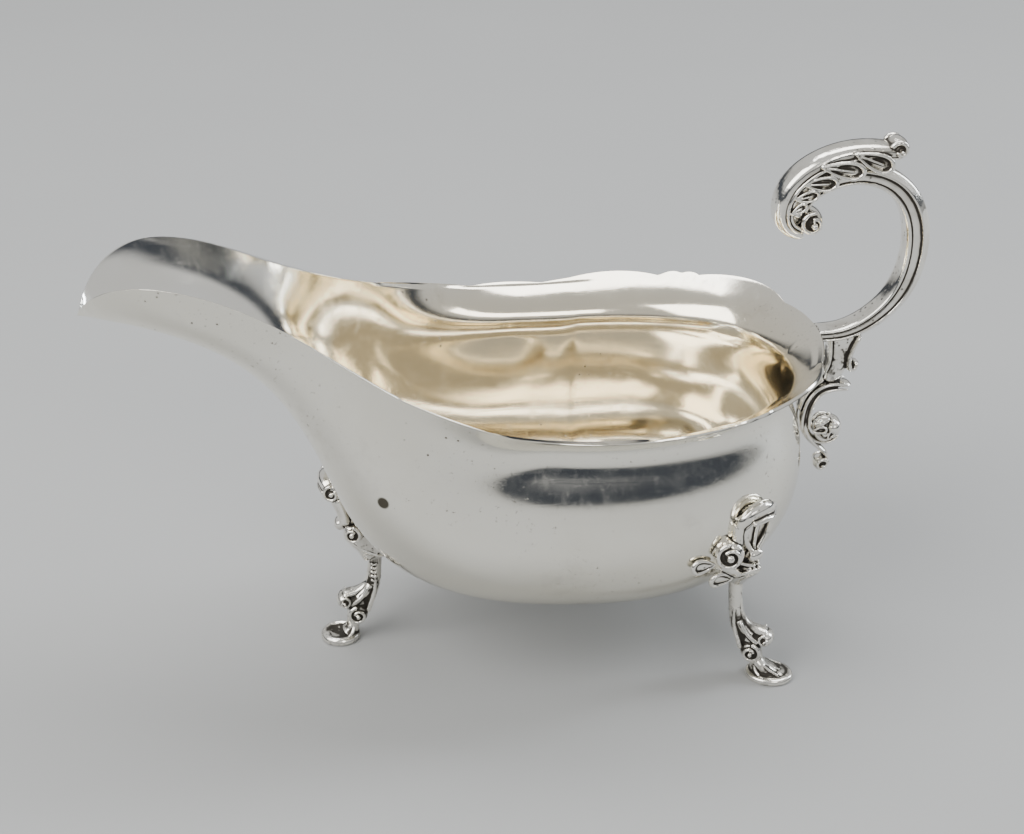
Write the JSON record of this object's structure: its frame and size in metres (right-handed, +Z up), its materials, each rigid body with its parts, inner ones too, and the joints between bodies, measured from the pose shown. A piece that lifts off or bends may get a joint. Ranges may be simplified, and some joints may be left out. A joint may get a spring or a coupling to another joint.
{
  "type": "sauce boat",
  "caption": "Polished silver sauce boat: a boat-shaped bowl with a long pouring lip and wavy rim, on three cast scroll legs, with a leaf-capped flying scroll handle",
  "frame": {"origin": "under the middle of the length and width, on the plane that the three feet stand on", "axes": "+X from the spout towards the handle, +Y across the boat, +Z up"},
  "size_m": [0.185, 0.0846, 0.1171],
  "materials": {
    "polished_silver": "hand-polished sterling silver sheet with soft reflections, fine scratches and a few small pits",
    "handle_silver": "cast and chased silver, polished on the high places, with dark tarnish in the recesses",
    "leg_silver": "cast silver, polished on the high places, with dark tarnish in the recesses"
  },
  "bodies": {
    "root": {"bowl": "polished_silver", "handle_scroll": "handle_silver", "handle_leaf": "handle_silver", "handle_bracket": "handle_silver", "bracket_boss": "handle_silver", "front_shell": "leg_silver", "left_shell": "leg_silver", "right_shell": "leg_silver", "front_leg": "leg_silver", "left_leg": "leg_silver", "right_leg": "leg_silver", "front_foot": "leg_silver", "left_foot": "leg_silver", "right_foot": "leg_silver"}
  },
  "joints": []
}
